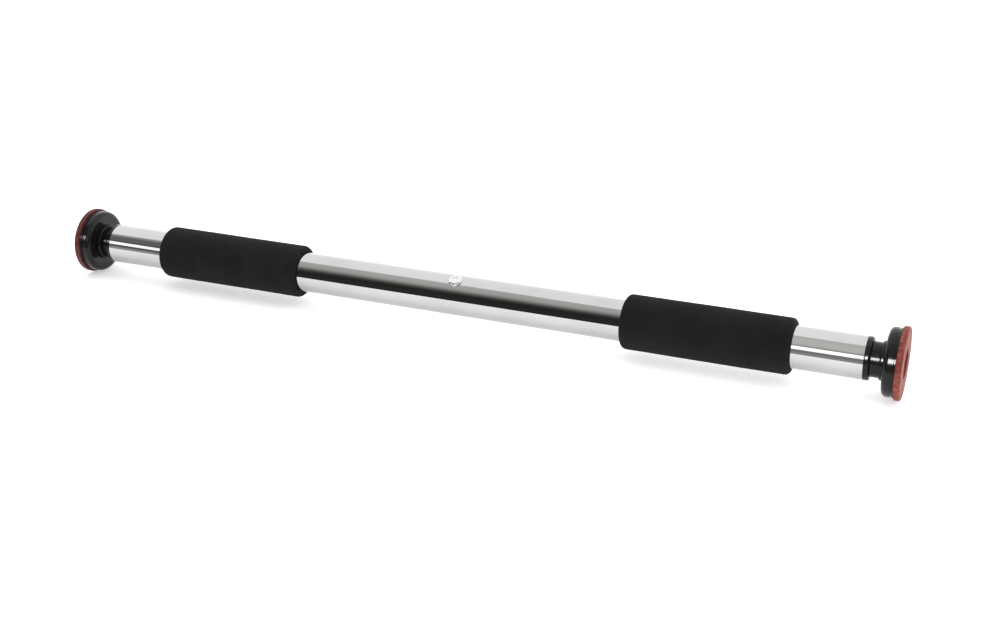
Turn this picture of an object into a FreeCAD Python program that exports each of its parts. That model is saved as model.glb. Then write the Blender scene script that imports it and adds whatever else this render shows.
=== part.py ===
"""Doorway pull up bar: a chromed tube whose two threaded ends screw out to press on the door frame.

The bar lies along X with its middle at the origin and +Z up. Sizes are in millimetres.
Turning the tube by hand turns two spindles, one left-handed and one right-handed, inside it,
and they drive the nut of each inner tube outwards until the rubber pads grip the two jambs.
Every right-hand piece is drawn looking outwards along +X; its left-hand twin is half a turn about Z.
"""
import FreeCAD, Part
import os
import Sketcher

doc = FreeCAD.newDocument("PullUpBar")

# alias, size, what it is; each is bound to the pieces below by an expression
SIZES = [
    ("tube_outer", 30, "outside diameter of the chromed tube"),
    ("tube_wall", 1.5, "wall of the chromed tube"),
    ("tube_half", 294.2, "middle of the bar to the end of the chromed tube"),
    ("travel", 130, "how far each end screws out"),
    ("running_gap", 0.05, "radial clearance of a running fit"),
    ("grip_outer", 39.4, "outside diameter of a foam grip"),
    ("grip_length", 119, "length of a foam grip"),
    ("grip_centre", 186.7, "middle of the bar to the middle of a grip"),
    ("grip_round", 3.4, "rounding of a grip's ends"),
    ("lip_length", 4.2, "visible lip of an end bush"),
    ("lip_round", 1.95, "rounding of the lip"),
    ("sleeve_length", 30, "length of an end bush inside the tube"),
    ("neck_length", 5.6, "inner tube showing between bush and flange"),
    ("hub_length", 40, "length of the centre hub"),
    ("hub_web", 4, "half of the solid middle of the centre hub"),
    ("spindle_outer", 14, "thread of a spindle"),
    ("spindle_core", 12, "turned end of a spindle, in the hub"),
    ("spindle_chamfer", 1, "chamfer on the end of a spindle"),
    ("pin_size", 4, "spring pin through hub and spindle"),
    ("pin_length", 25, "length of that pin"),
    ("pin_place", 12, "middle of the bar to that pin"),
    ("screw_lean", 24, "degrees from straight up to the centre screw"),
    ("screw_size", 6, "thread of the centre screw and the stop screws"),
    ("screw_root", 5, "axis of the bar to the centre screw's tip"),
    ("button_outer", 10.2, "head of the centre screw"),
    ("button_height", 1.7, "height of that head"),
    ("button_round", 1.5, "rounding of that head"),
    ("dimple_outer", 4.4, "shallow dimple in that head"),
    ("dimple_depth", 0.25, "depth of that dimple"),
    ("screw_head", 10.8, "head of a stop screw"),
    ("screw_dome", 3.3, "height of that head"),
    ("screw_dome_round", 2.5, "rounding of that head"),
    ("screw_socket", 4.6, "hexagon socket of a stop screw across its corners"),
    ("screw_socket_depth", 1.8, "depth of that socket"),
    ("stop_screw_length", 14, "thread of a stop screw in its spindle"),
    ("stop_outer", 18.4, "outside diameter of a stop washer"),
    ("stop_thickness", 3, "thickness of a stop washer"),
    ("stop_margin", 0.5, "gap between nut and stop washer at full reach"),
    ("inner_outer", 24.4, "outside diameter of an inner tube"),
    ("inner_wall", 2, "wall of an inner tube"),
    ("inner_start", 112, "middle of the bar to the inner end of an inner tube, closed"),
    ("collar_length", 4, "collar of a drive nut"),
    ("collar_outer", 25.8, "outside diameter of that collar"),
    ("journal_length", 12, "part of a drive nut that carries the guide ring"),
    ("journal_outer", 21, "outside diameter of that part"),
    ("spigot_length", 14, "part of a drive nut inside the inner tube"),
    ("nut_pin_size", 3, "short pins that lock a drive nut in its tube"),
    ("nut_pin_length", 3.6, "length of those pins"),
    ("ring_play", 0.15, "end play of a guide ring, at each side"),
    ("plug_length", 20, "length of an end plug"),
    ("plug_chamfer", 1, "chamfer on an end plug"),
    ("bolt_size", 8, "thread of a flange screw"),
    ("bolt_head", 16, "countersunk head of a flange screw"),
    ("bolt_length", 14, "thread of a flange screw below its head"),
    ("bolt_socket", 5.77, "hexagon socket of a flange screw across its corners"),
    ("bolt_socket_depth", 2.6, "depth of that socket"),
    ("flange_outer", 47.4, "outside diameter of a flange"),
    ("flange_length", 8.5, "thickness of a flange's disc"),
    ("flange_round", 3.4, "rounding of a flange's front edge"),
    ("flange_socket", 7.7, "depth of the inner tube in a flange"),
    ("groove_width", 1.1, "groove round a flange, beside the pad"),
    ("groove_depth", 0.8, "depth of that groove"),
    ("groove_lip", 1.6, "width of the lip behind that groove"),
    ("collar_ring_outer", 27.2, "raised ring on the front of a flange"),
    ("collar_ring_length", 3.2, "height of that ring"),
    ("collar_ring_round", 1.25, "rounding of that ring"),
    ("plate_outer", 38, "outside diameter of a backing plate"),
    ("plate_thickness", 1.5, "thickness of a backing plate"),
    ("pad_outer", 50, "outside diameter of a rubber pad"),
    ("pad_length", 4.3, "thickness of a rubber pad"),
    ("pad_round", 1.1, "rounding of a pad's outer edge"),
    ("recess_outer", 20.5, "round recess in the middle of a pad"),
    ("recess_depth", 2.8, "depth of that recess"),
    ("recess_round", 0.5, "rounding of the recess's rim"),
]

sheet = doc.addObject("Spreadsheet::Sheet", "Sizes")
for row, (alias, size, meaning) in enumerate(SIZES, start=1):
    sheet.set(f"A{row}", meaning)
    sheet.set(f"B{row}", str(size))
    sheet.setAlias(f"B{row}", alias)
doc.recompute()

# places and radii that several pieces share, as expressions on the sheet
TUBE_SURFACE = "Sizes.tube_outer / 2"
TUBE_BORE = "(Sizes.tube_outer / 2 - Sizes.tube_wall)"
INNER_SURFACE = "Sizes.inner_outer / 2"
INNER_BORE = "(Sizes.inner_outer / 2 - Sizes.inner_wall)"
SCREW_RADIUS = "Sizes.screw_size / 2"
BOLT_RADIUS = "Sizes.bolt_size / 2"
BOLT_CONE = "(Sizes.bolt_head / 2 - Sizes.bolt_size / 2)"
RING_START = "(Sizes.tube_half + Sizes.lip_length + Sizes.neck_length)"
FLANGE_DEPTH = "(Sizes.collar_ring_length + Sizes.flange_length)"
PAD_START = f"({RING_START} + {FLANGE_DEPTH})"
TUBE_END = f"({RING_START} + Sizes.flange_socket)"
NUT_START = "(Sizes.inner_start - Sizes.journal_length - Sizes.collar_length)"
SPINDLE_END = "(Sizes.inner_start + Sizes.spigot_length + Sizes.travel + Sizes.stop_margin)"

# the half turn about Z that carries each side's pieces
SIDES = {"left": -1, "right": 1}
UP = FreeCAD.Vector(0, 0, 1)
ALONG = FreeCAD.Vector(1, 0, 0)
ORIGIN = FreeCAD.Vector(0, 0, 0)

nodes = []


def keep(piece, label):
    """Give a finished sub-part its name and list it for the STEP files."""
    piece.Label = label
    nodes.append(piece)
    return piece


def origin_plane(body, role):
    """One of a body's own origin planes, by its role."""
    return next(plane for plane in body.Origin.OriginFeatures if plane.Role == role)


def new_sketch(body, name, role):
    """An empty sketch on one of the body's origin planes."""
    sketch = body.newObject("Sketcher::SketchObject", name)
    sketch.AttachmentSupport = [(origin_plane(body, role), "")]
    sketch.MapMode = "FlatFace"
    return sketch


def bind_point(sketch, line, axis, expression):
    """Hold the start of a line at a distance from the origin along one axis of the sketch."""
    if expression == "0":
        sketch.addConstraint(Sketcher.Constraint("PointOnObject", line, 1, -1 if axis == "Y" else -2))
        return
    number = sketch.addConstraint(Sketcher.Constraint("Distance" + axis, -1, 1, line, 1, 1.0))
    sketch.setExpression(f"Constraints[{number}]", expression)


def draw_outline(sketch, corners):
    """A closed outline of straight runs through corners given as (along, out) expressions."""
    count = len(corners)
    seeds = [FreeCAD.Vector(5 + number, 5 + number % 2, 0) for number in range(count)]
    for number in range(count):
        sketch.addGeometry(Part.LineSegment(seeds[number], seeds[(number + 1) % count]), False)
    for number in range(count):
        sketch.addConstraint(Sketcher.Constraint("Coincident", number, 2, (number + 1) % count, 1))
    for number, (along, out) in enumerate(corners):
        bind_point(sketch, number, "X", along)
        bind_point(sketch, number, "Y", out)


def round_corners(body, base, sketch, numbers, radius, kind="Fillet"):
    """Round (or chamfer) the turned edges that come from the outline's numbered corners."""
    doc.recompute()
    points = [sketch.Geometry[number].StartPoint for number in numbers]
    edges = []
    for index, edge in enumerate(base.Shape.Edges, start=1):
        if not isinstance(edge.Curve, Part.Circle):
            continue
        for point in points:
            same_place = abs(edge.Curve.Center.x - point.x) < 1e-4
            same_size = abs(edge.Curve.Radius - point.y) < 1e-4
            if same_place and same_size:
                edges.append(f"Edge{index}")
    feature = body.newObject("PartDesign::" + kind, kind)
    feature.Base = (base, edges)
    feature.setExpression("Radius" if kind == "Fillet" else "Size", radius)
    return feature


def turned(label, corners, rounds=()):
    """A body turned about X; rounds lists (corner numbers, radius, Fillet or Chamfer)."""
    body = doc.addObject("PartDesign::Body", label)
    sketch = new_sketch(body, "Outline", "XZ_Plane")
    draw_outline(sketch, corners)
    feature = body.newObject("PartDesign::Revolution", "Turned")
    feature.Profile = sketch
    feature.ReferenceAxis = (sketch, ["H_Axis"])
    feature.Angle = 360
    for numbers, radius, kind in rounds:
        feature = round_corners(body, feature, sketch, numbers, radius, kind)
    return keep(body, label)


def ring_outline(start, end, bore, surface):
    """The four corners of a plain ring: inner start, outer start, outer end, inner end."""
    return [(start, bore), (start, surface), (end, surface), (end, bore)]


def cut_away(body, sketch, length, both_ways=False, towards=True):
    """Pocket a sketch by a bound length, one way or both, and make sure that it removed something."""
    doc.recompute()
    before = body.Shape.Volume
    pocket = body.newObject("PartDesign::Pocket", "Cut")
    pocket.Profile = sketch
    pocket.setExpression("Length", length)
    pocket.Midplane = both_ways
    pocket.Reversed = towards and not both_ways
    doc.recompute()
    if not body.Shape.Volume < before - 1e-3:
        raise RuntimeError(f"{body.Label}: the cut from {sketch.Label} removed nothing")
    return pocket


def drill(body, role, place, diameter, length, both_ways=False):
    """A round hole from an origin plane, at a place along the bar."""
    sketch = new_sketch(body, "Hole", role)
    circle = sketch.addGeometry(Part.Circle(FreeCAD.Vector(3, 0, 0), UP, 1.0), False)
    size = sketch.addConstraint(Sketcher.Constraint("Diameter", circle, 2.0))
    sketch.setExpression(f"Constraints[{size}]", diameter)
    sketch.addConstraint(Sketcher.Constraint("PointOnObject", circle, 3, -1))
    if place == "0":
        sketch.addConstraint(Sketcher.Constraint("PointOnObject", circle, 3, -2))
    else:
        along = sketch.addConstraint(Sketcher.Constraint("DistanceX", -1, 1, circle, 3, 3.0))
        sketch.setExpression(f"Constraints[{along}]", place)
    return cut_away(body, sketch, length, both_ways)


def hexagon_socket(body, face, across, depth):
    """A hexagon socket sunk from the face at a given place along X."""
    sketch = new_sketch(body, "Socket", "YZ_Plane")
    sketch.setExpression(".AttachmentOffset.Base.z", face)
    corner = [FreeCAD.Rotation(UP, 60 * number).multVec(ALONG) for number in range(6)]
    for number in range(6):
        sketch.addGeometry(Part.LineSegment(corner[number], corner[(number + 1) % 6]), False)
    circle = sketch.addGeometry(Part.Circle(ORIGIN, UP, 1.0), True)
    sketch.addConstraint(Sketcher.Constraint("Coincident", circle, 3, -1, 1))
    for number in range(6):
        sketch.addConstraint(Sketcher.Constraint("Coincident", number, 2, (number + 1) % 6, 1))
        sketch.addConstraint(Sketcher.Constraint("PointOnObject", number, 1, circle))
    for number in range(1, 6):
        sketch.addConstraint(Sketcher.Constraint("Equal", 0, number))
    sketch.addConstraint(Sketcher.Constraint("PointOnObject", 0, 1, -1))
    size = sketch.addConstraint(Sketcher.Constraint("Diameter", circle, 2.0))
    sketch.setExpression(f"Constraints[{size}]", across)
    return cut_away(body, sketch, depth, towards=False)


def set_place(piece, along="0", side=1, lean=False):
    """Put a piece on the bar's axis: its side's half turn, and for the middle ones the screw's lean."""
    turn = FreeCAD.Rotation(UP, 0 if side > 0 else 180)
    piece.Placement = FreeCAD.Placement(ORIGIN, turn)
    if lean:
        piece.Placement = FreeCAD.Placement(ORIGIN, FreeCAD.Rotation(ALONG, sheet.screw_lean))
        piece.setExpression("Placement.Rotation.Angle", "Sizes.screw_lean")
    if along != "0":
        piece.setExpression("Placement.Base.x", f"{side} * ({along})")


def make_outer_tube():
    """The chromed tube, one length, with a hole for the centre screw."""
    corners = ring_outline("-Sizes.tube_half", "Sizes.tube_half", TUBE_BORE, TUBE_SURFACE)
    body = turned("outer_tube", corners)
    drill(body, "XY_Plane", "0", "Sizes.screw_size", "Sizes.tube_outer")
    set_place(body, lean=True)


def make_centre_hub():
    """A steel plug in the middle of the tube that joins the two spindles to it."""
    half = "Sizes.hub_length / 2"
    core = "Sizes.spindle_core / 2"
    corners = [
        (f"-{half}", core),
        (f"-{half}", TUBE_BORE),
        (half, TUBE_BORE),
        (half, core),
        ("Sizes.hub_web", core),
        ("Sizes.hub_web", "0"),
        ("-Sizes.hub_web", "0"),
        ("-Sizes.hub_web", core),
    ]
    body = turned("centre_hub", corners)
    drill(body, "XZ_Plane", "Sizes.pin_place", "Sizes.pin_size", "Sizes.tube_outer", both_ways=True)
    drill(body, "XZ_Plane", "-Sizes.pin_place", "Sizes.pin_size", "Sizes.tube_outer", both_ways=True)
    sketch = new_sketch(body, "Tapped", "XY_Plane")
    sketch.setExpression(".AttachmentOffset.Base.z", "Sizes.screw_root")
    circle = sketch.addGeometry(Part.Circle(ORIGIN, UP, 1.0), False)
    sketch.addConstraint(Sketcher.Constraint("Coincident", circle, 3, -1, 1))
    size = sketch.addConstraint(Sketcher.Constraint("Diameter", circle, 2.0))
    sketch.setExpression(f"Constraints[{size}]", "Sizes.screw_size")
    cut_away(body, sketch, "Sizes.tube_outer")
    set_place(body, lean=True)


def make_centre_screw():
    """The small domed screw in the middle of the bar; its head is saddled to the tube."""
    body = doc.addObject("PartDesign::Body", "centre_screw")
    head = "Sizes.button_outer / 2"
    top = f"({TUBE_SURFACE} + Sizes.button_height)"
    low = "Sizes.tube_outer / 2 - Sizes.tube_wall"
    # the head is turned about Z, so its outline's first number is the radius
    sketch = new_sketch(body, "Head", "XZ_Plane")
    draw_outline(sketch, [("0", low), (head, low), (head, top), ("0", top)])
    dome = body.newObject("PartDesign::Revolution", "Dome")
    dome.Profile = sketch
    dome.ReferenceAxis = (sketch, ["V_Axis"])
    dome.Angle = 360
    doc.recompute()
    rim = [
        f"Edge{number}"
        for number, edge in enumerate(dome.Shape.Edges, start=1)
        if isinstance(edge.Curve, Part.Circle) and edge.Curve.Center.z > sheet.tube_outer / 2
    ]
    rounded = body.newObject("PartDesign::Fillet", "Rounded")
    rounded.Base = (dome, rim)
    rounded.setExpression("Radius", "Sizes.button_round")
    # the tube's own curve, cut out from under the head
    saddle = new_sketch(body, "Saddle", "XZ_Plane")
    draw_outline(saddle, [(f"-{head} - 1", "0"), (f"-{head} - 1", TUBE_SURFACE),
                          (f"{head} + 1", TUBE_SURFACE), (f"{head} + 1", "0")])
    groove = body.newObject("PartDesign::Groove", "SaddleCut")
    groove.Profile = saddle
    groove.ReferenceAxis = (saddle, ["H_Axis"])
    groove.Angle = 360
    # the shank runs through the tube's wall into the hub
    shank = new_sketch(body, "Shank", "XY_Plane")
    shank.setExpression(".AttachmentOffset.Base.z", "Sizes.screw_root")
    circle = shank.addGeometry(Part.Circle(ORIGIN, UP, 1.0), False)
    shank.addConstraint(Sketcher.Constraint("Coincident", circle, 3, -1, 1))
    size = shank.addConstraint(Sketcher.Constraint("Diameter", circle, 2.0))
    shank.setExpression(f"Constraints[{size}]", "Sizes.screw_size")
    pad = body.newObject("PartDesign::Pad", "ShankPad")
    pad.Profile = shank
    pad.setExpression("Length", f"{TUBE_SURFACE} + Sizes.button_height / 4 - Sizes.screw_root")
    socket = new_sketch(body, "Dimple", "XY_Plane")
    socket.setExpression(".AttachmentOffset.Base.z", f"{top} - Sizes.dimple_depth")
    hole = socket.addGeometry(Part.Circle(ORIGIN, UP, 1.0), False)
    socket.addConstraint(Sketcher.Constraint("Coincident", hole, 3, -1, 1))
    width = socket.addConstraint(Sketcher.Constraint("Diameter", hole, 2.0))
    socket.setExpression(f"Constraints[{width}]", "Sizes.dimple_outer")
    cut_away(body, socket, "Sizes.button_height")
    set_place(body, lean=True)
    keep(body, "centre_screw")


def make_grip(side, sign):
    """A closed-cell foam sleeve, pushed on to the tube."""
    half = "Sizes.grip_length / 2"
    corners = ring_outline(f"-{half}", half, TUBE_SURFACE, "Sizes.grip_outer / 2")
    body = turned(f"{side}_grip", corners, [((1, 2), "Sizes.grip_round", "Fillet")])
    set_place(body, "Sizes.grip_centre", sign)


def make_end_bush(side, sign):
    """A plastic bush pressed in the tube's end: a rounded lip outside and a sleeve inside."""
    bore = f"({INNER_SURFACE} + Sizes.running_gap)"
    corners = [
        ("-Sizes.sleeve_length", bore),
        ("-Sizes.sleeve_length", TUBE_BORE),
        ("0", TUBE_BORE),
        ("0", TUBE_SURFACE),
        ("Sizes.lip_length", TUBE_SURFACE),
        ("Sizes.lip_length", bore),
    ]
    rounds = [((4,), "Sizes.lip_round", "Fillet"), ((3,), "Sizes.lip_round / 3", "Fillet")]
    body = turned(f"{side}_end_bush", corners, rounds)
    set_place(body, "Sizes.tube_half", sign)


def make_spindle(side, sign):
    """A threaded spindle: its core is pinned in the hub, its end is tapped for the stop screw."""
    core = "Sizes.spindle_core / 2"
    thread = "Sizes.spindle_outer / 2"
    depth = f"{SPINDLE_END} - Sizes.stop_screw_length"
    corners = [
        ("Sizes.hub_web", "0"),
        ("Sizes.hub_web", core),
        ("Sizes.hub_length / 2", core),
        ("Sizes.hub_length / 2", thread),
        (SPINDLE_END, thread),
        (SPINDLE_END, SCREW_RADIUS),
        (depth, SCREW_RADIUS),
        (depth, "0"),
    ]
    body = turned(f"{side}_spindle", corners, [((4,), "Sizes.spindle_chamfer", "Chamfer")])
    drill(body, "XZ_Plane", "Sizes.pin_place", "Sizes.pin_size", "Sizes.tube_outer", both_ways=True)
    # the spindle is turned with the hub, so that one pin passes through both
    body.Placement = FreeCAD.Placement(ORIGIN, middle_turn(sign))


def middle_turn(sign):
    """The rotation of a piece that is drilled with the hub: its side's half turn, then the lean."""
    lean = FreeCAD.Rotation(ALONG, sheet.screw_lean)
    return lean.multiply(FreeCAD.Rotation(UP, 0 if sign > 0 else 180))


def make_spindle_pin(side, sign):
    """A spring pin across the hub and the spindle."""
    pin = doc.addObject("Part::Cylinder", f"{side}_spindle_pin")
    pin.setExpression("Radius", "Sizes.pin_size / 2")
    pin.setExpression("Height", "Sizes.pin_length")
    across = FreeCAD.Placement(ORIGIN, FreeCAD.Rotation(ALONG, 90))
    start = FreeCAD.Vector(sheet.pin_place, sheet.pin_length / 2, 0)
    across.Base = start
    pin.Placement = FreeCAD.Placement(ORIGIN, middle_turn(sign)).multiply(across)
    keep(pin, f"{side}_spindle_pin")


def make_stop(side, sign):
    """The washer on the spindle's end that the nut meets at full reach, and its screw."""
    corners = ring_outline("0", "Sizes.stop_thickness", SCREW_RADIUS, "Sizes.stop_outer / 2")
    washer = turned(f"{side}_stop_washer", corners)
    set_place(washer, SPINDLE_END, sign)
    head = "Sizes.screw_head / 2"
    top = "Sizes.stop_thickness + Sizes.screw_dome"
    outline = [
        ("-Sizes.stop_screw_length", "0"),
        ("-Sizes.stop_screw_length", SCREW_RADIUS),
        ("Sizes.stop_thickness", SCREW_RADIUS),
        ("Sizes.stop_thickness", head),
        (top, head),
        (top, "0"),
    ]
    screw = turned(f"{side}_stop_screw", outline, [((4,), "Sizes.screw_dome_round", "Fillet")])
    hexagon_socket(screw, top, "Sizes.screw_socket", "Sizes.screw_socket_depth")
    set_place(screw, SPINDLE_END, sign)


def make_inner_tube(side, sign):
    """The black tube that slides out; two short pins hold its nut."""
    corners = ring_outline("Sizes.inner_start", TUBE_END, INNER_BORE, INNER_SURFACE)
    body = turned(f"{side}_inner_tube", corners)
    middle = "Sizes.inner_start + Sizes.spigot_length / 2"
    drill(body, "XZ_Plane", middle, "Sizes.nut_pin_size", "Sizes.inner_outer + 1", both_ways=True)
    set_place(body, side=sign)


def make_drive_nut(side, sign):
    """The nut on the spindle: a collar, a journal for the guide ring and a spigot in the tube."""
    bore = "(Sizes.spindle_outer / 2 + Sizes.running_gap)"
    shoulder = "Sizes.collar_length"
    tube_face = "Sizes.collar_length + Sizes.journal_length"
    end = f"{tube_face} + Sizes.spigot_length"
    corners = [
        ("0", bore),
        ("0", "Sizes.collar_outer / 2"),
        (shoulder, "Sizes.collar_outer / 2"),
        (shoulder, "Sizes.journal_outer / 2"),
        (tube_face, "Sizes.journal_outer / 2"),
        (tube_face, INNER_BORE),
        (end, INNER_BORE),
        (end, bore),
    ]
    body = turned(f"{side}_drive_nut", corners)
    middle = f"{tube_face} + Sizes.spigot_length / 2"
    drill(body, "XZ_Plane", middle, "Sizes.nut_pin_size", "Sizes.inner_outer", both_ways=True)
    set_place(body, NUT_START, sign)


def make_nut_pins(side, sign):
    """Two short pins, one each side, through the inner tube's wall into the nut."""
    pins = []
    for number, turn in enumerate((90, -90), start=1):
        pin = doc.addObject("Part::Cylinder", f"{side}_pin_{number}")
        pin.setExpression("Radius", "Sizes.nut_pin_size / 2")
        pin.setExpression("Height", "Sizes.nut_pin_length")
        along = sign * (sheet.inner_start + sheet.spigot_length / 2)
        outwards = FreeCAD.Rotation(ALONG, turn)
        inner_end = sheet.inner_outer / 2 - sheet.nut_pin_length
        start = FreeCAD.Vector(along, 0, 0) + outwards.multVec(FreeCAD.Vector(0, 0, inner_end))
        pin.Placement = FreeCAD.Placement(start, outwards)
        pins.append(pin)
    pair = doc.addObject("Part::Compound", f"{side}_nut_pins")
    pair.Links = pins
    keep(pair, f"{side}_nut_pins")


def make_guide_ring(side, sign):
    """A plastic ring on the nut's journal that keeps the inner tube central in the outer tube."""
    start = f"{NUT_START} + Sizes.collar_length + Sizes.ring_play"
    length = "Sizes.journal_length - 2 * Sizes.ring_play"
    bore = "Sizes.journal_outer / 2 + Sizes.running_gap"
    surface = f"{TUBE_BORE} - Sizes.running_gap"
    body = turned(f"{side}_guide_ring", ring_outline("0", length, bore, surface))
    set_place(body, start, sign)


def make_end_plug(side, sign):
    """A steel plug in the inner tube's outer end, tapped for the flange screw."""
    corners = ring_outline("-Sizes.plug_length", "0", BOLT_RADIUS, INNER_BORE)
    body = turned(f"{side}_end_plug", corners, [((1,), "Sizes.plug_chamfer", "Chamfer")])
    set_place(body, TUBE_END, sign)


def make_flange(side, sign):
    """The black plastic disc: a raised ring in front, a groove and lip beside the pad."""
    rim = "Sizes.flange_outer / 2"
    valley = f"{rim} - Sizes.groove_depth"
    groove_end = f"{FLANGE_DEPTH} - Sizes.groove_lip"
    plate_face = f"{FLANGE_DEPTH} - Sizes.plate_thickness"
    corners = [
        ("0", INNER_SURFACE),
        ("0", "Sizes.collar_ring_outer / 2"),
        ("Sizes.collar_ring_length", "Sizes.collar_ring_outer / 2"),
        ("Sizes.collar_ring_length", rim),
        (f"{groove_end} - Sizes.groove_width", rim),
        (f"{groove_end} - Sizes.groove_width", valley),
        (groove_end, valley),
        (groove_end, rim),
        (FLANGE_DEPTH, rim),
        (FLANGE_DEPTH, "Sizes.plate_outer / 2"),
        (plate_face, "Sizes.plate_outer / 2"),
        (plate_face, "Sizes.bolt_head / 2 - Sizes.plate_thickness"),
        ("Sizes.flange_socket", f"Sizes.bolt_head / 2 - {FLANGE_DEPTH} + Sizes.flange_socket"),
        ("Sizes.flange_socket", INNER_SURFACE),
    ]
    rounds = [
        ((3,), "Sizes.flange_round", "Fillet"),
        ((1,), "Sizes.collar_ring_round", "Fillet"),
        ((7, 8), "Sizes.groove_depth / 2", "Fillet"),
    ]
    body = turned(f"{side}_flange", corners, rounds)
    set_place(body, RING_START, sign)


def make_backing_plate(side, sign):
    """A steel disc let into the flange's back, countersunk for the screw."""
    head = "Sizes.bolt_head / 2"
    corners = [
        ("-Sizes.plate_thickness", f"{head} - Sizes.plate_thickness"),
        ("-Sizes.plate_thickness", "Sizes.plate_outer / 2"),
        ("0", "Sizes.plate_outer / 2"),
        ("0", head),
    ]
    body = turned(f"{side}_backing_plate", corners)
    set_place(body, PAD_START, sign)


def make_flange_screw(side, sign):
    """The countersunk screw that holds plate and flange to the end plug."""
    end = f"-{BOLT_CONE} - Sizes.bolt_length"
    corners = [
        (end, "0"),
        (end, BOLT_RADIUS),
        (f"-{BOLT_CONE}", BOLT_RADIUS),
        ("0", "Sizes.bolt_head / 2"),
        ("0", "0"),
    ]
    body = turned(f"{side}_flange_screw", corners, [((1,), "Sizes.plug_chamfer", "Chamfer")])
    hexagon_socket(body, "0", "Sizes.bolt_socket", "Sizes.bolt_socket_depth")
    set_place(body, PAD_START, sign)


def make_pad(side, sign):
    """The red rubber pad bonded over the plate, with a round recess in its middle."""
    floor = "Sizes.pad_length - Sizes.recess_depth"
    corners = [
        ("0", "0"),
        ("0", "Sizes.pad_outer / 2"),
        ("Sizes.pad_length", "Sizes.pad_outer / 2"),
        ("Sizes.pad_length", "Sizes.recess_outer / 2"),
        (floor, "Sizes.recess_outer / 2"),
        (floor, "0"),
    ]
    rounds = [
        ((2,), "Sizes.pad_round", "Fillet"),
        ((1, 3), "Sizes.recess_round", "Fillet"),
    ]
    body = turned(f"{side}_pad", corners, rounds)
    set_place(body, PAD_START, sign)


make_outer_tube()
make_centre_hub()
make_centre_screw()
for side, sign in SIDES.items():
    make_grip(side, sign)
    make_end_bush(side, sign)
    make_spindle(side, sign)
    make_spindle_pin(side, sign)
    make_stop(side, sign)
    make_inner_tube(side, sign)
    make_drive_nut(side, sign)
    make_nut_pins(side, sign)
    make_guide_ring(side, sign)
    make_end_plug(side, sign)
    make_flange(side, sign)
    make_backing_plate(side, sign)
    make_flange_screw(side, sign)
    make_pad(side, sign)

doc.recompute()
for item in doc.Objects:
    if "Invalid" in item.State or "Error" in item.State:
        raise RuntimeError(f"{item.Label} failed: {item.State}")
for node in nodes:
    if node.Shape.isNull() or not node.Shape.isValid():
        raise RuntimeError(f"{node.Label} has no valid shape")

os.makedirs("parts", exist_ok=True)
for node in nodes:
    node.Shape.exportStep(f"parts/{node.Label}.step")
    print(f"{node.Label}: {node.Shape.Volume / 1000:.2f} cm3")
print(len(nodes), "nodes")
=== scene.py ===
"""Looks for a doorway pull up bar: chromed tube, foam grips, threaded ends with rubber-faced flanges.

Metres throughout, in the frame's own axes: X along the bar, Z up, the user's side at -Y.
"""
import bpy
import math
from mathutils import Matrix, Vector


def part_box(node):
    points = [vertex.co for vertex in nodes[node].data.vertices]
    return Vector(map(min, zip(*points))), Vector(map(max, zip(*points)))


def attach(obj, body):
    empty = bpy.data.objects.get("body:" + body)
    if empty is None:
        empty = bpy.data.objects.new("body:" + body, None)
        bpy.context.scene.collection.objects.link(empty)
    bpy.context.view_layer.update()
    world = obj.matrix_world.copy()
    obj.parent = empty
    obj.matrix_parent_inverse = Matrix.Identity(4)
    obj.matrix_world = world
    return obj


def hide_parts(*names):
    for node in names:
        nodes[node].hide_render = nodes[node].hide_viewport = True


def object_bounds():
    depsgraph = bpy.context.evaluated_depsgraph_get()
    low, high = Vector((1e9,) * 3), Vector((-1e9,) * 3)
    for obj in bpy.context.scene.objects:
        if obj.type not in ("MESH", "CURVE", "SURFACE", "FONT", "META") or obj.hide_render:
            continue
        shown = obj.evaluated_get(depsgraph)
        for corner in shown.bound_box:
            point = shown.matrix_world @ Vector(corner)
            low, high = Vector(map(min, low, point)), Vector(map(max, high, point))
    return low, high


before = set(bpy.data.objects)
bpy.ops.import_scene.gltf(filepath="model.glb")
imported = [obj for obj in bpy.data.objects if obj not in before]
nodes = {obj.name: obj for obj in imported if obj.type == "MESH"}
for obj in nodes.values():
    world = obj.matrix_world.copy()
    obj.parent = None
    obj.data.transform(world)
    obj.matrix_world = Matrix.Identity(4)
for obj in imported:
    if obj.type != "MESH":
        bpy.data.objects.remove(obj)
cad_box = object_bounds()

# ---------------------------------------------------------------------------
# Outer tube. One length of welded steel tube, polished and chrome plated, so it
# mirrors the room in long bands; handling leaves faint smears and hairlines.
TUBE_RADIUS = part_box("outer_tube")[1].z
CHROME = (0.50, 0.50, 0.51, 1)
CHROME_SMEARED = (0.46, 0.46, 0.47, 1)
SMEAR_SCALE = 28
HAIRLINE_SCALE = 900


def new_material(name):
    """A node material with its Principled shader and a texture coordinate in the object's own metres."""
    material = bpy.data.materials.new(name)
    material.use_nodes = True
    tree = material.node_tree
    shader = tree.nodes["Principled BSDF"]
    coord = tree.nodes.new("ShaderNodeTexCoord")
    return material, tree, shader, coord.outputs["Object"]


def new_group(name, inputs, outputs):
    """An empty shader group: inputs are (name, kind, default) and outputs (name, kind)."""
    group = bpy.data.node_groups.new(name, "ShaderNodeTree")
    for label, kind, value in inputs:
        socket = group.interface.new_socket(label, in_out="INPUT", socket_type=kind)
        if value is not None:
            socket.default_value = value
    for label, kind in outputs:
        group.interface.new_socket(label, in_out="OUTPUT", socket_type=kind)
    return group, group.nodes.new("NodeGroupInput"), group.nodes.new("NodeGroupOutput")


def add_group(tree, group, coord, **values):
    """Place a group in a material, fed with the coordinate and its own values."""
    node = tree.nodes.new("ShaderNodeGroup")
    node.node_tree = group
    tree.links.new(coord, node.inputs["Vector"])
    for label, value in values.items():
        node.inputs[label].default_value = value
    return node


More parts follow.
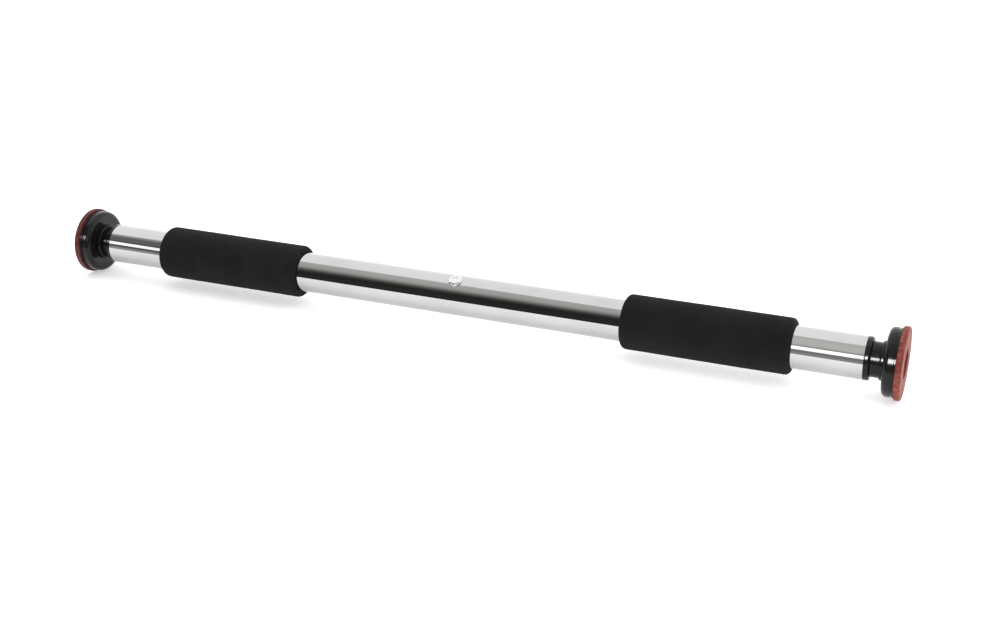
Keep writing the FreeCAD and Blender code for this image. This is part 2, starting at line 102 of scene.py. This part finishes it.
def math_node(tree, operation, first, second):
    """A Math node whose two inputs are sockets or numbers."""
    node = tree.nodes.new("ShaderNodeMath")
    node.operation = operation
    for socket, value in zip(node.inputs, (first, second)):
        if isinstance(value, (int, float)):
            socket.default_value = value
        else:
            tree.links.new(value, socket)
    return node.outputs[0]


def noise(tree, vector, scale, detail=2.0, roughness=0.5):
    """A noise texture's value, about 0 to 1."""
    node = tree.nodes.new("ShaderNodeTexNoise")
    node.inputs["Scale"].default_value = scale
    node.inputs["Detail"].default_value = detail
    node.inputs["Roughness"].default_value = roughness
    tree.links.new(vector, node.inputs["Vector"])
    return node.outputs["Fac"]


def ramp(tree, value, stops):
    """A colour ramp through (place, colour) stops."""
    node = tree.nodes.new("ShaderNodeValToRGB")
    ends = node.color_ramp.elements
    while len(ends) < len(stops):
        ends.new(0.5)
    for element, (place, colour) in zip(ends, stops):
        element.position = place
        element.color = colour
    tree.links.new(value, node.inputs["Fac"])
    return node.outputs["Color"]


def bump(tree, shader, height, strength, distance):
    """Feed a height in metres, scaled by distance, to the shader's normal."""
    node = tree.nodes.new("ShaderNodeBump")
    node.inputs["Strength"].default_value = strength
    node.inputs["Distance"].default_value = distance
    tree.links.new(height, node.inputs["Height"])
    tree.links.new(node.outputs["Normal"], shader.inputs["Normal"])


def grey(value):
    """A neutral colour with full alpha."""
    return (value, value, value, 1)


def build_handled():
    """Group: roughness of a handled hard surface, from soft smears and fine hairlines.

    Along stretches the hairlines: an axis with a small share has the long lines.
    """
    group, given, result = new_group(
        "handled surface",
        [("Vector", "NodeSocketVector", None), ("Base", "NodeSocketFloat", 0.1),
         ("Smears", "NodeSocketFloat", 0.1), ("Hairlines", "NodeSocketFloat", 0.1),
         ("Along", "NodeSocketVector", (1, 1, 1))],
        [("Roughness", "NodeSocketFloat"), ("Hairline", "NodeSocketFloat"), ("Smear", "NodeSocketFloat")])
    vector = given.outputs["Vector"]
    clouds = noise(group, vector, SMEAR_SCALE, detail=4, roughness=0.6)
    smear = ramp(group, clouds, [(0.42, grey(0)), (0.72, grey(1))])
    drawn = group.nodes.new("ShaderNodeVectorMath")
    drawn.operation = "MULTIPLY"
    group.links.new(vector, drawn.inputs[0])
    group.links.new(given.outputs["Along"], drawn.inputs[1])
    lines = noise(group, drawn.outputs[0], HAIRLINE_SCALE, detail=3, roughness=0.7)
    hairline = ramp(group, lines, [(0.60, grey(0)), (0.74, grey(1))])
    rough = math_node(group, "MULTIPLY", smear, given.outputs["Smears"])
    scratched = math_node(group, "MULTIPLY", hairline, given.outputs["Hairlines"])
    total = math_node(group, "ADD", rough, scratched)
    group.links.new(math_node(group, "ADD", total, given.outputs["Base"]), result.inputs["Roughness"])
    group.links.new(hairline, result.inputs["Hairline"])
    group.links.new(smear, result.inputs["Smear"])
    return group


HANDLED = build_handled()


def chrome_plate():
    """Bright chrome: a tight mirror with soft smears and very fine hairlines round the tube."""
    material, tree, shader, coord = new_material("chrome plate")
    shader.inputs["Metallic"].default_value = 1.0
    wear = add_group(tree, HANDLED, coord, Base=0.02, Smears=0.03, Hairlines=0.03, Along=(1.0, 0.06, 0.06))
    tint = ramp(tree, wear.outputs["Smear"], [(0, CHROME), (1, CHROME_SMEARED)])
    tree.links.new(tint, shader.inputs["Base Color"])
    tree.links.new(wear.outputs["Roughness"], shader.inputs["Roughness"])
    bump(tree, shader, wear.outputs["Hairline"], strength=0.015, distance=0.00001)
    return material


def dress(material, *names):
    """Give CAD nodes their material."""
    for name in names:
        mesh = nodes[name].data
        mesh.materials.clear()
        mesh.materials.append(material)


dress(chrome_plate(), "outer_tube")

# ---------------------------------------------------------------------------
# Grips. Closed-cell foam extruded as a hose, cut to length with soft rounded ends
# and pushed on to the tube; the skin is matt black with fine pores.
GRIP_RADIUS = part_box("left_grip")[1].z
# the bore lies a hair under the tube's skin, so that no gap shows at the grip's ends
BORE_TUCK = 0.00006
GRIP_BORE = TUBE_RADIUS - BORE_TUCK
GRIP_ROUND = 0.0036
FOAM = (0.0125, 0.0125, 0.0130, 1)
FOAM_WORN = (0.0175, 0.0175, 0.0182, 1)
PORE_SCALE = 2100
GRAIN_SCALE = 1300
BLOOM_SCALE = 42
EDGE_STEPS = 10
GRIP_TURNS = 160
GRIP_ROWS = 120
WAVE_DEPTH = 0.00007


def foam():
    """Matt black foam: pores, and a faint mottled bloom."""
    material, tree, shader, coord = new_material("black foam")
    cells = tree.nodes.new("ShaderNodeTexVoronoi")
    cells.inputs["Scale"].default_value = PORE_SCALE
    tree.links.new(coord, cells.inputs["Vector"])
    pores = ramp(tree, cells.outputs["Distance"], [(0.0, grey(0)), (0.38, grey(1))])
    grain = noise(tree, coord, GRAIN_SCALE, detail=4, roughness=0.7)
    height = math_node(tree, "ADD", math_node(tree, "MULTIPLY", pores, 0.55), grain)
    bloom = noise(tree, coord, BLOOM_SCALE, detail=5, roughness=0.65)
    tone = ramp(tree, bloom, [(0.38, FOAM), (0.70, FOAM_WORN)])
    tree.links.new(tone, shader.inputs["Base Color"])
    rough = ramp(tree, grain, [(0.3, grey(0.72)), (0.7, grey(0.94))])
    tree.links.new(rough, shader.inputs["Roughness"])
    shader.inputs["Specular IOR Level"].default_value = 0.08
    bump(tree, shader, height, strength=0.55, distance=0.00022)
    return material


def grip_profile(low, high):
    """Points (x, radius) along a grip's skin: a rounded end, a straight side, a rounded end."""
    corner = []
    for step in range(EDGE_STEPS + 1):
        turn = math.pi / 2 * step / EDGE_STEPS
        across = GRIP_ROUND * (1 - math.cos(turn))
        up = GRIP_ROUND * (1 - math.sin(turn))
        corner.append((across, GRIP_RADIUS - up))
    points = [(low, GRIP_BORE)]
    points += [(low + across, radius) for across, radius in corner]
    for row in range(1, GRIP_ROWS):
        share = row / GRIP_ROWS
        points.append((low + GRIP_ROUND + (high - low - 2 * GRIP_ROUND) * share, GRIP_RADIUS))
    points += [(high - across, radius) for across, radius in reversed(corner)]
    points.append((high, GRIP_BORE))
    return points


def uneven(x, angle):
    """How far the foam dips under its full radius, as a negative number: long soft waves."""
    wave = math.sin(61 * x + 2 * angle) + 0.6 * math.sin(143 * x - 3 * angle + 1.3)
    return -WAVE_DEPTH * (1 + wave / 1.6)


def turned_grip(name, points):
    """A grip's mesh turned about X through (x, radius) points; its bore stays true on the tube."""
    verts, faces = [], []
    for x, radius in points:
        for turn in range(GRIP_TURNS):
            angle = 2 * math.pi * turn / GRIP_TURNS
            out = radius + (uneven(x, angle) if radius > TUBE_RADIUS else 0)
            verts.append((x, -out * math.sin(angle), out * math.cos(angle)))
    rows = len(points)
    for row in range(rows):
        above = (row + 1) % rows
        for turn in range(GRIP_TURNS):
            beside = (turn + 1) % GRIP_TURNS
            faces.append((row * GRIP_TURNS + turn, above * GRIP_TURNS + turn,
                          above * GRIP_TURNS + beside, row * GRIP_TURNS + beside))
    mesh = bpy.data.meshes.new(name)
    mesh.from_pydata(verts, [], faces)
    mesh.polygons.foreach_set("use_smooth", [True] * len(mesh.polygons))
    mesh.update()
    piece = bpy.data.objects.new(name, mesh)
    bpy.context.scene.collection.objects.link(piece)
    return piece


foam_material = foam()
for side in ("left", "right"):
    low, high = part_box(f"{side}_grip")
    grip = turned_grip(f"{side}_foam_grip", grip_profile(low.x, high.x))
    grip.data.materials.append(foam_material)
    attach(grip, "bar")
    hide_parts(f"{side}_grip")

# ---------------------------------------------------------------------------
# Bright steel parts. The domed centre screw, and inside the tube the hub, spindles,
# pins, stops, nuts, plugs, plates and flange screws, all turned and zinc plated.
ZINC = (0.66, 0.66, 0.67, 1)
ZINC_DULL = (0.50, 0.50, 0.51, 1)


def zinc_plate(name, base, dull):
    """Turned steel with zinc plate: fine lathe lines and a slightly cloudy finish."""
    material, tree, shader, coord = new_material(name)
    shader.inputs["Metallic"].default_value = 1.0
    wear = add_group(tree, HANDLED, coord, Base=base, Smears=dull, Hairlines=0.12, Along=(1.0, 0.08, 0.08))
    tint = ramp(tree, wear.outputs["Smear"], [(0, ZINC), (1, ZINC_DULL)])
    tree.links.new(tint, shader.inputs["Base Color"])
    tree.links.new(wear.outputs["Roughness"], shader.inputs["Roughness"])
    bump(tree, shader, wear.outputs["Hairline"], strength=0.12, distance=0.00004)
    return material


dress(zinc_plate("polished screw", 0.05, 0.05), "centre_screw")
steel = zinc_plate("zinc plated steel", 0.26, 0.12)
dress(steel, "centre_hub")
for side in ("left", "right"):
    dress(steel, f"{side}_spindle", f"{side}_spindle_pin", f"{side}_stop_washer", f"{side}_stop_screw")
    dress(steel, f"{side}_drive_nut", f"{side}_nut_pins", f"{side}_end_plug")
    dress(steel, f"{side}_backing_plate", f"{side}_flange_screw")

# ---------------------------------------------------------------------------
# Guide rings. Turned from natural white nylon; they run dry in the chromed tube.
NYLON = (0.74, 0.73, 0.68, 1)
NYLON_RUBBED = (0.55, 0.54, 0.50, 1)


def nylon():
    """Waxy white nylon, greyed a little by rubbing."""
    material, tree, shader, coord = new_material("natural nylon")
    wear = add_group(tree, HANDLED, coord, Base=0.38, Smears=0.15, Hairlines=0.1, Along=(0.1, 1, 1))
    tint = ramp(tree, wear.outputs["Smear"], [(0, NYLON), (1, NYLON_RUBBED)])
    tree.links.new(tint, shader.inputs["Base Color"])
    tree.links.new(wear.outputs["Roughness"], shader.inputs["Roughness"])
    shader.inputs["Subsurface Weight"].default_value = 0.08
    bump(tree, shader, wear.outputs["Hairline"], strength=0.1, distance=0.00004)
    return material


dress(nylon(), "left_guide_ring", "right_guide_ring")

# ---------------------------------------------------------------------------
# End bushes and flanges. Injection moulded in glossy black plastic, with the faint
# ripple of a moulded skin and a few handling marks.
PLASTIC = (0.0050, 0.0050, 0.0054, 1)
PLASTIC_SCUFFED = (0.0140, 0.0140, 0.0145, 1)
PEEL_SCALE = 420


def gloss_black():
    """Glossy black moulding: mirror-like skin with orange peel, smears and fine scratches."""
    material, tree, shader, coord = new_material("black moulding")
    wear = add_group(tree, HANDLED, coord, Base=0.10, Smears=0.10, Hairlines=0.14, Along=(1, 1, 1))
    tint = ramp(tree, wear.outputs["Smear"], [(0, PLASTIC), (1, PLASTIC_SCUFFED)])
    tree.links.new(tint, shader.inputs["Base Color"])
    tree.links.new(wear.outputs["Roughness"], shader.inputs["Roughness"])
    peel = noise(tree, coord, PEEL_SCALE, detail=2, roughness=0.4)
    height = math_node(tree, "ADD", peel, math_node(tree, "MULTIPLY", wear.outputs["Hairline"], 0.15))
    shader.inputs["Specular IOR Level"].default_value = 0.22
    bump(tree, shader, height, strength=0.06, distance=0.00012)
    return material


dress(gloss_black(), "left_end_bush", "right_end_bush", "left_flange", "right_flange")

# ---------------------------------------------------------------------------
# Inner tubes. Steel tube in gloss black stove paint; it slides in the bush, which
# leaves light rub marks along it.


def black_paint():
    """Gloss black paint with rub marks along the tube."""
    material, tree, shader, coord = new_material("black stove paint")
    wear = add_group(tree, HANDLED, coord, Base=0.14, Smears=0.10, Hairlines=0.22, Along=(0.05, 1, 1))
    tint = ramp(tree, wear.outputs["Hairline"], [(0, PLASTIC), (1, PLASTIC_SCUFFED)])
    tree.links.new(tint, shader.inputs["Base Color"])
    tree.links.new(wear.outputs["Roughness"], shader.inputs["Roughness"])
    shader.inputs["Specular IOR Level"].default_value = 0.22
    bump(tree, shader, wear.outputs["Hairline"], strength=0.10, distance=0.00003)
    return material


dress(black_paint(), "left_inner_tube", "right_inner_tube")

# ---------------------------------------------------------------------------
# Rubber pads. Brick-red rubber moulded with a round recess and bonded on; the skin
# is matt and mottled from pressing on painted wood. The left pad has a darker copy of the colours: painted
# shade.
RUBBER = (0.225, 0.039, 0.028, 1)
RUBBER_DARK = (0.135, 0.020, 0.016, 1)
RUBBER_DUSTY = (0.460, 0.150, 0.105, 1)
# the left pad's colours, the same rubber darkened: painted shade
RUBBER_PAINTED_SHADE = (0.105, 0.018, 0.015, 1)
RUBBER_PAINTED_SHADE_DARK = (0.070, 0.011, 0.010, 1)
RUBBER_PAINTED_SHADE_DUSTY = (0.190, 0.070, 0.058, 1)
MOTTLE_SCALE = 330
SKIN_SCALE = 900


def red_rubber(name, dark, middle, dusty):
    """Matt red rubber: mottled colour, chalky dust in patches and a fine pebbled skin."""
    material, tree, shader, coord = new_material(name)
    mottle = noise(tree, coord, MOTTLE_SCALE, detail=5, roughness=0.75)
    tone = ramp(tree, mottle, [(0.32, dark), (0.50, middle), (0.74, dusty)])
    tree.links.new(tone, shader.inputs["Base Color"])
    rough = ramp(tree, mottle, [(0.3, grey(0.48)), (0.7, grey(0.72))])
    tree.links.new(rough, shader.inputs["Roughness"])
    shader.inputs["Specular IOR Level"].default_value = 0.3
    skin = noise(tree, coord, SKIN_SCALE, detail=3, roughness=0.6)
    bump(tree, shader, math_node(tree, "ADD", skin, mottle), strength=0.45, distance=0.00030)
    return material


dusty = red_rubber("red rubber", RUBBER_DARK, RUBBER, RUBBER_DUSTY)
dress(dusty, "right_pad")
# the left pad in painted shade: the same rubber with darker colours
shaded_rubber = red_rubber("red rubber in painted shade", RUBBER_PAINTED_SHADE_DARK, RUBBER_PAINTED_SHADE, RUBBER_PAINTED_SHADE_DUSTY)
dress(shaded_rubber, "left_pad")

# ---------------------------------------------------------------------------
# Studio. A white table with a painted glow in a light tent: the tent is bright behind
# and overhead and open to a dark room in front, where two softboxes stand, one left and one right.
FLOOR_HEIGHT = cad_box[0].z
FLOOR_HALF = 40.0
FLOOR_WHITE = grey(0.90)
FLOOR_SHADE = grey(0.87)
FLOOR_CLOUD_SCALE = 3
# the table's painted glow, which lifts the shadows on it; dimmer at the left as painted shade
FLOOR_PAINTED_GLOW = grey(0.62)
FLOOR_GLOW_IN_PAINTED_SHADE = grey(0.42)
PAINTED_SHADE_BEFORE = -0.45
FULL_GLOW_AFTER = 0.20


def white_floor():
    """White table with a painted glow that lifts the shadows on it, dimmer at the left as painted shade,
    and faintly uneven.
    """
    material, tree, shader, coord = new_material("table with painted glow")
    clouds = noise(tree, coord, FLOOR_CLOUD_SCALE, detail=2)
    tone = ramp(tree, clouds, [(0.3, FLOOR_SHADE), (0.7, FLOOR_WHITE)])
    tree.links.new(tone, shader.inputs["Base Color"])
    split = tree.nodes.new("ShaderNodeSeparateXYZ")
    tree.links.new(coord, split.inputs[0])
    spread = tree.nodes.new("ShaderNodeMapRange")
    spread.inputs["From Min"].default_value = PAINTED_SHADE_BEFORE
    spread.inputs["From Max"].default_value = FULL_GLOW_AFTER
    tree.links.new(split.outputs["X"], spread.inputs["Value"])
    # painted glow by place along the bar: dimmer at the left, as painted shade
    painted_glow = ramp(tree, spread.outputs["Result"], [(0, FLOOR_GLOW_IN_PAINTED_SHADE), (1, FLOOR_PAINTED_GLOW)])
    tree.links.new(painted_glow, shader.inputs["Emission Color"])
    shader.inputs["Emission Strength"].default_value = 1.0
    shader.inputs["Roughness"].default_value = 0.8
    shader.inputs["Specular IOR Level"].default_value = 0.1
    return material


floor_mesh = bpy.data.meshes.new("floor")
floor_corners = [(-1, -1), (1, -1), (1, 1), (-1, 1)]
floor_mesh.from_pydata(
    [(x * FLOOR_HALF, y * FLOOR_HALF, FLOOR_HEIGHT) for x, y in floor_corners], [], [(0, 1, 2, 3)])
floor = bpy.data.objects.new("floor", floor_mesh)
bpy.context.scene.collection.objects.link(floor)
floor.data.materials.append(white_floor())

# cards lying on the table in front of the bar, which only mirrors see: a black one that
# fans out from the middle of the bar and a grey one at each side of it
CARD_NEAR = -0.135
CARD_FAR = -39.0
CARD_HEIGHT = FLOOR_HEIGHT + 0.001
BLACK_NEAR = (-0.31, 0.153)
BLACK_FAR = (-26.0, -7.7)
GREY_NEAR = 4.0
GREY_FAR = 60.0
BLACK_CARD = 0.013
LEFT_CARD = 0.40
RIGHT_CARD = 0.36
CARD_GRAIN_SCALE = 60


def lay_card(name, near, far, tone):
    """A matt card with a faint paper grain, from x to x at its near edge and at its far edge."""
    mesh = bpy.data.meshes.new(name)
    mesh.from_pydata(
        [(far[0], CARD_FAR, CARD_HEIGHT), (far[1], CARD_FAR, CARD_HEIGHT),
         (near[1], CARD_NEAR, CARD_HEIGHT), (near[0], CARD_NEAR, CARD_HEIGHT)], [], [(0, 1, 2, 3)])
    card = bpy.data.objects.new(name, mesh)
    bpy.context.scene.collection.objects.link(card)
    material, tree, shader, coord = new_material(f"{name} paper")
    grain = noise(tree, coord, CARD_GRAIN_SCALE, detail=4)
    paper = ramp(tree, grain, [(0.3, grey(tone * 0.85)), (0.7, grey(tone * 1.15))])
    tree.links.new(paper, shader.inputs["Base Color"])
    shader.inputs["Roughness"].default_value = 0.9
    shader.inputs["Specular IOR Level"].default_value = 0.1
    mesh.materials.append(material)
    card.visible_camera = False
    card.visible_diffuse = False
    card.visible_shadow = False


lay_card("black_card", BLACK_NEAR, BLACK_FAR, BLACK_CARD)
lay_card("left_grey_card", (-GREY_NEAR, BLACK_NEAR[0]), (-GREY_FAR, BLACK_FAR[0]), LEFT_CARD)
lay_card("right_grey_card", (BLACK_NEAR[1], GREY_NEAR), (BLACK_FAR[1], GREY_FAR), RIGHT_CARD)

# the tent and the room as seen from the bar, as (place, brightness) stops by the angle
# round the bar's axis in half turns: 0 is level in front, 0.5 overhead, 1 level behind
TENT = 1.40
ROOM_LEFT = [
    (0.0, 0.30), (0.04, 0.15), (0.19, 0.14), (0.24, 0.22), (0.34, 0.21), (0.42, 0.62), (0.45, TENT)]
ROOM_MIDDLE = [
    (0.0, 0.04), (0.13, 0.03), (0.19, 0.09), (0.25, 0.32), (0.31, 0.62), (0.43, 0.73), (0.454, TENT)]
ROOM_RIGHT = [
    (0.0, 0.30), (0.18, 0.44), (0.24, 0.84), (0.36, 0.86), (0.455, 0.78), (0.495, TENT)]
# where the left part goes over into the middle one, and that into the right one, as the
# direction's share along the bar
LEFT_TO_MIDDLE = (-0.53, -0.49)
MIDDLE_TO_RIGHT = (-0.22, -0.17)
TENT_WHITE = (1.005, 1.0, 1.0, 1)
ROOM_WARM = (1.01, 0.995, 0.94, 1)

world = bpy.data.worlds.new("light tent")
world.use_nodes = True
bpy.context.scene.world = world
room = world.node_tree
direction = room.nodes.new("ShaderNodeTexCoord").outputs["Generated"]
split = room.nodes.new("ShaderNodeSeparateXYZ")
room.links.new(direction, split.inputs[0])
forwards = math_node(room, "MULTIPLY", split.outputs["Y"], -1.0)
height = math_node(room, "ABSOLUTE", split.outputs["Z"], 0)
half_turns = math_node(room, "DIVIDE", math_node(room, "ARCTAN2", height, forwards), math.pi)


def room_tone(stops):
    """The room's colour up and over: warm up to the tent, white in it."""
    colours = []
    for place, level in stops:
        tint = TENT_WHITE if level == TENT else ROOM_WARM
        colours.append((place, [level * part for part in tint]))
    return ramp(room, half_turns, colours)


def mix_tone(first, second, start, end):
    """From the first tone to the second, going along the bar from start to end."""
    between = room.nodes.new("ShaderNodeMapRange")
    between.inputs["From Min"].default_value = start
    between.inputs["From Max"].default_value = end
    room.links.new(split.outputs["X"], between.inputs["Value"])
    mix = room.nodes.new("ShaderNodeMix")
    mix.data_type = "RGBA"
    room.links.new(between.outputs["Result"], mix.inputs["Factor"])
    room.links.new(first, mix.inputs["A"])
    room.links.new(second, mix.inputs["B"])
    return mix.outputs["Result"]


tones = mix_tone(room_tone(ROOM_LEFT), room_tone(ROOM_MIDDLE), *LEFT_TO_MIDDLE)
tones = mix_tone(tones, room_tone(ROOM_RIGHT), *MIDDLE_TO_RIGHT)
room.links.new(tones, room.nodes["Background"].inputs["Color"])


def softbox(name, size, place, radiance, mirrored):
    """An area light, size (width, height), aimed at the bar: mirrors see it, or it only lights."""
    light = bpy.data.lights.new(name, "AREA")
    light.shape = "RECTANGLE"
    light.size, light.size_y = size
    light.energy = radiance * math.pi * size[0] * size[1]
    lamp = bpy.data.objects.new(name, light)
    bpy.context.scene.collection.objects.link(lamp)
    lamp.location = place
    lamp.rotation_euler = (-lamp.location).to_track_quat("-Z", "Y").to_euler()
    lamp.visible_glossy = mirrored
    lamp.visible_diffuse = not mirrored
    return lamp


def light_only(lamp, *names):
    """Keep a lamp to a few nodes, as a flagged spot would be."""
    lit = bpy.data.collections.new(f"lit by {lamp.name}")
    for name in names:
        lit.objects.link(nodes[name])
    lamp.light_linking.receiver_collection = lit


# two softboxes for the chrome's white lines, two brighter lamps kept to the black ends for
# their sparkle, and the roof of the tent, which lights the foam, the rubber and the table
softbox("right_softbox", size=(0.90, 0.60), place=(0.22, -1.85, 0.77), radiance=1.9, mirrored=True)
softbox("left_softbox", size=(0.90, 0.56), place=(-1.75, -1.85, 0.79), radiance=1.8, mirrored=True)
spark = softbox("right_spark", size=(0.80, 0.48), place=(0.30, -1.85, 0.85), radiance=55, mirrored=True)
light_only(spark, "right_end_bush", "right_inner_tube", "right_flange")
spark = softbox("left_spark", size=(0.50, 0.36), place=(-1.6, -1.85, 0.87), radiance=14, mirrored=True)
light_only(spark, "left_end_bush", "left_inner_tube", "left_flange")
softbox("tent_roof", size=(3.4, 3.0), place=(0.0, 0.2, 2.4), radiance=0.5, mirrored=False)

# ---------------------------------------------------------------------------
# Camera, at the height of someone looking down at the bar on a table, a little to its
# right and turned back towards its middle.
CAMERA_PLACE = (0.4043, -0.9282, 0.4147)
CAMERA_YAW = 21.84
CAMERA_PITCH = 23.11
CAMERA_LENS = 53.85
CAMERA_SENSOR = 36
camera_data = bpy.data.cameras.new("camera")
camera_data.lens = CAMERA_LENS
camera_data.sensor_width = CAMERA_SENSOR
camera = bpy.data.objects.new("camera", camera_data)
bpy.context.scene.collection.objects.link(camera)
camera.location = CAMERA_PLACE
camera.rotation_euler = (math.radians(90 - CAMERA_PITCH), 0, math.radians(CAMERA_YAW))
bpy.context.scene.camera = camera
bpy.context.scene.view_settings.view_transform = "Standard"
